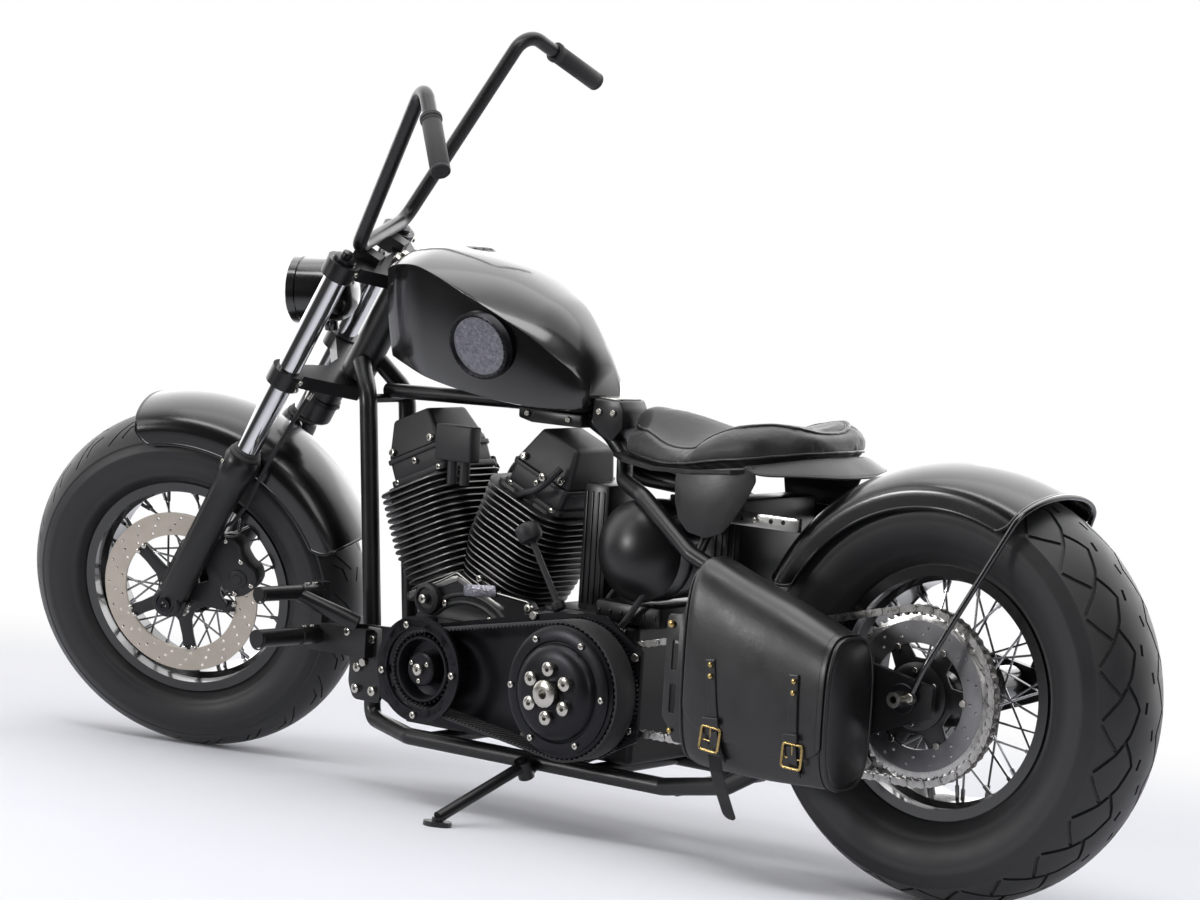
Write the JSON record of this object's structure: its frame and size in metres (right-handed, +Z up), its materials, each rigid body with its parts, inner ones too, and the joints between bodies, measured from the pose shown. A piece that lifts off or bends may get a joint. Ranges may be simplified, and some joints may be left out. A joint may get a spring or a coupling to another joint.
{
  "type": "motorcycle",
  "caption": "Chopper with a rigid rear frame, V-twin engine, open belt primary, fat tyres, tall bars and a leather side bag, leaning on its side stand",
  "frame": {"origin": "on the ground, under the centre of the whole object's box, as it stands on its tyres and side stand", "axes": "+X forward, +Y to the rider's left, +Z up"},
  "size_m": [2.3055, 0.7594, 1.3691],
  "materials": {
    "bag_leather": "waxed black leather",
    "cast_alloy": "black anodised aluminium",
    "chain_steel": "oiled steel",
    "chrome": "polished chrome",
    "engine_black": "wrinkle black on cast metal",
    "frame_black": "satin black powder coat",
    "gloss_black": "gloss black enamel",
    "rubber": "moulded rubber",
    "satin_black": "satin black paint",
    "seat_leather": "black leather",
    "steel": "bare machined steel",
    "tyre": "vulcanised rubber"
  },
  "bodies": {
    "chassis": {"air_cleaner": "satin_black", "clutch_drum": "cast_alloy", "crankcase": "engine_black", "cylinder_front": "engine_black", "cylinder_rear": "engine_black", "down_tube_left": "frame_black", "down_tube_right": "frame_black", "drive_chain_lower": "chain_steel", "drive_chain_upper": "chain_steel", "exhaust": "satin_black", "fender_strut": "frame_black", "foot_control_left": "cast_alloy", "foot_control_right": "cast_alloy", "frame_spine": "frame_black", "front_pulley": "cast_alloy", "fuel_tank": "gloss_black", "gearbox": "engine_black", "lower_rail_left": "frame_black", "lower_rail_right": "frame_black", "oil_tank": "satin_black", "primary_belt": "rubber", "primary_plate": "cast_alloy", "rear_axle": "steel", "rear_caliper": "cast_alloy", "rear_fender": "satin_black", "rear_stay_left": "frame_black", "rear_stay_right": "frame_black", "rocker_box_front": "engine_black", "rocker_box_rear": "engine_black", "saddlebag": "bag_leather", "seat_cushion": "seat_leather", "seat_pan": "frame_black"},
    "steering": {"lower_clamp": "cast_alloy", "upper_clamp": "cast_alloy", "stanchion_left": "chrome", "stanchion_right": "chrome", "fork_leg_left": "cast_alloy", "fork_leg_right": "cast_alloy", "handlebar": "frame_black", "grip_left": "rubber", "grip_right": "rubber", "headlamp": "satin_black", "horn": "frame_black", "front_fender": "satin_black", "front_caliper": "cast_alloy", "front_axle": "steel", "brake_hose": "rubber"},
    "front_wheel": {"front_tyre": "tyre", "front_rim": "frame_black", "front_hub": "frame_black", "front_disc": "steel"},
    "rear_wheel": {"rear_tyre": "tyre", "rear_rim": "frame_black", "rear_hub": "frame_black", "rear_sprocket": "chain_steel"},
    "side_stand": {"side_stand": "frame_black"}
  },
  "joints": [
    {"name": "steering", "type": "hinge", "parent": "chassis", "child": "steering", "pos_m": [0.3998, -0.00629, 0.90543], "axis": [-0.5139, 0.0747, 0.8546], "range_deg": [-48, 0]},
    {"name": "front_wheel_spin", "type": "hinge", "parent": "steering", "child": "front_wheel", "pos_m": [0.84291, -0.02361, 0.31452], "axis": [-0.349, 0.8918, -0.2879], "continuous": true},
    {"name": "rear_wheel_spin", "type": "hinge", "parent": "chassis", "child": "rear_wheel", "pos_m": [-0.81083, -0.05578, 0.34127], "axis": [-0.0001, 0.9962, -0.0872], "continuous": true},
    {"name": "side_stand_fold", "type": "hinge", "parent": "chassis", "child": "side_stand", "pos_m": [-0.05913, 0.08409, 0.10322], "axis": [0.0011, 0.5079, 0.8614], "range_deg": [0, 75]}
  ]
}
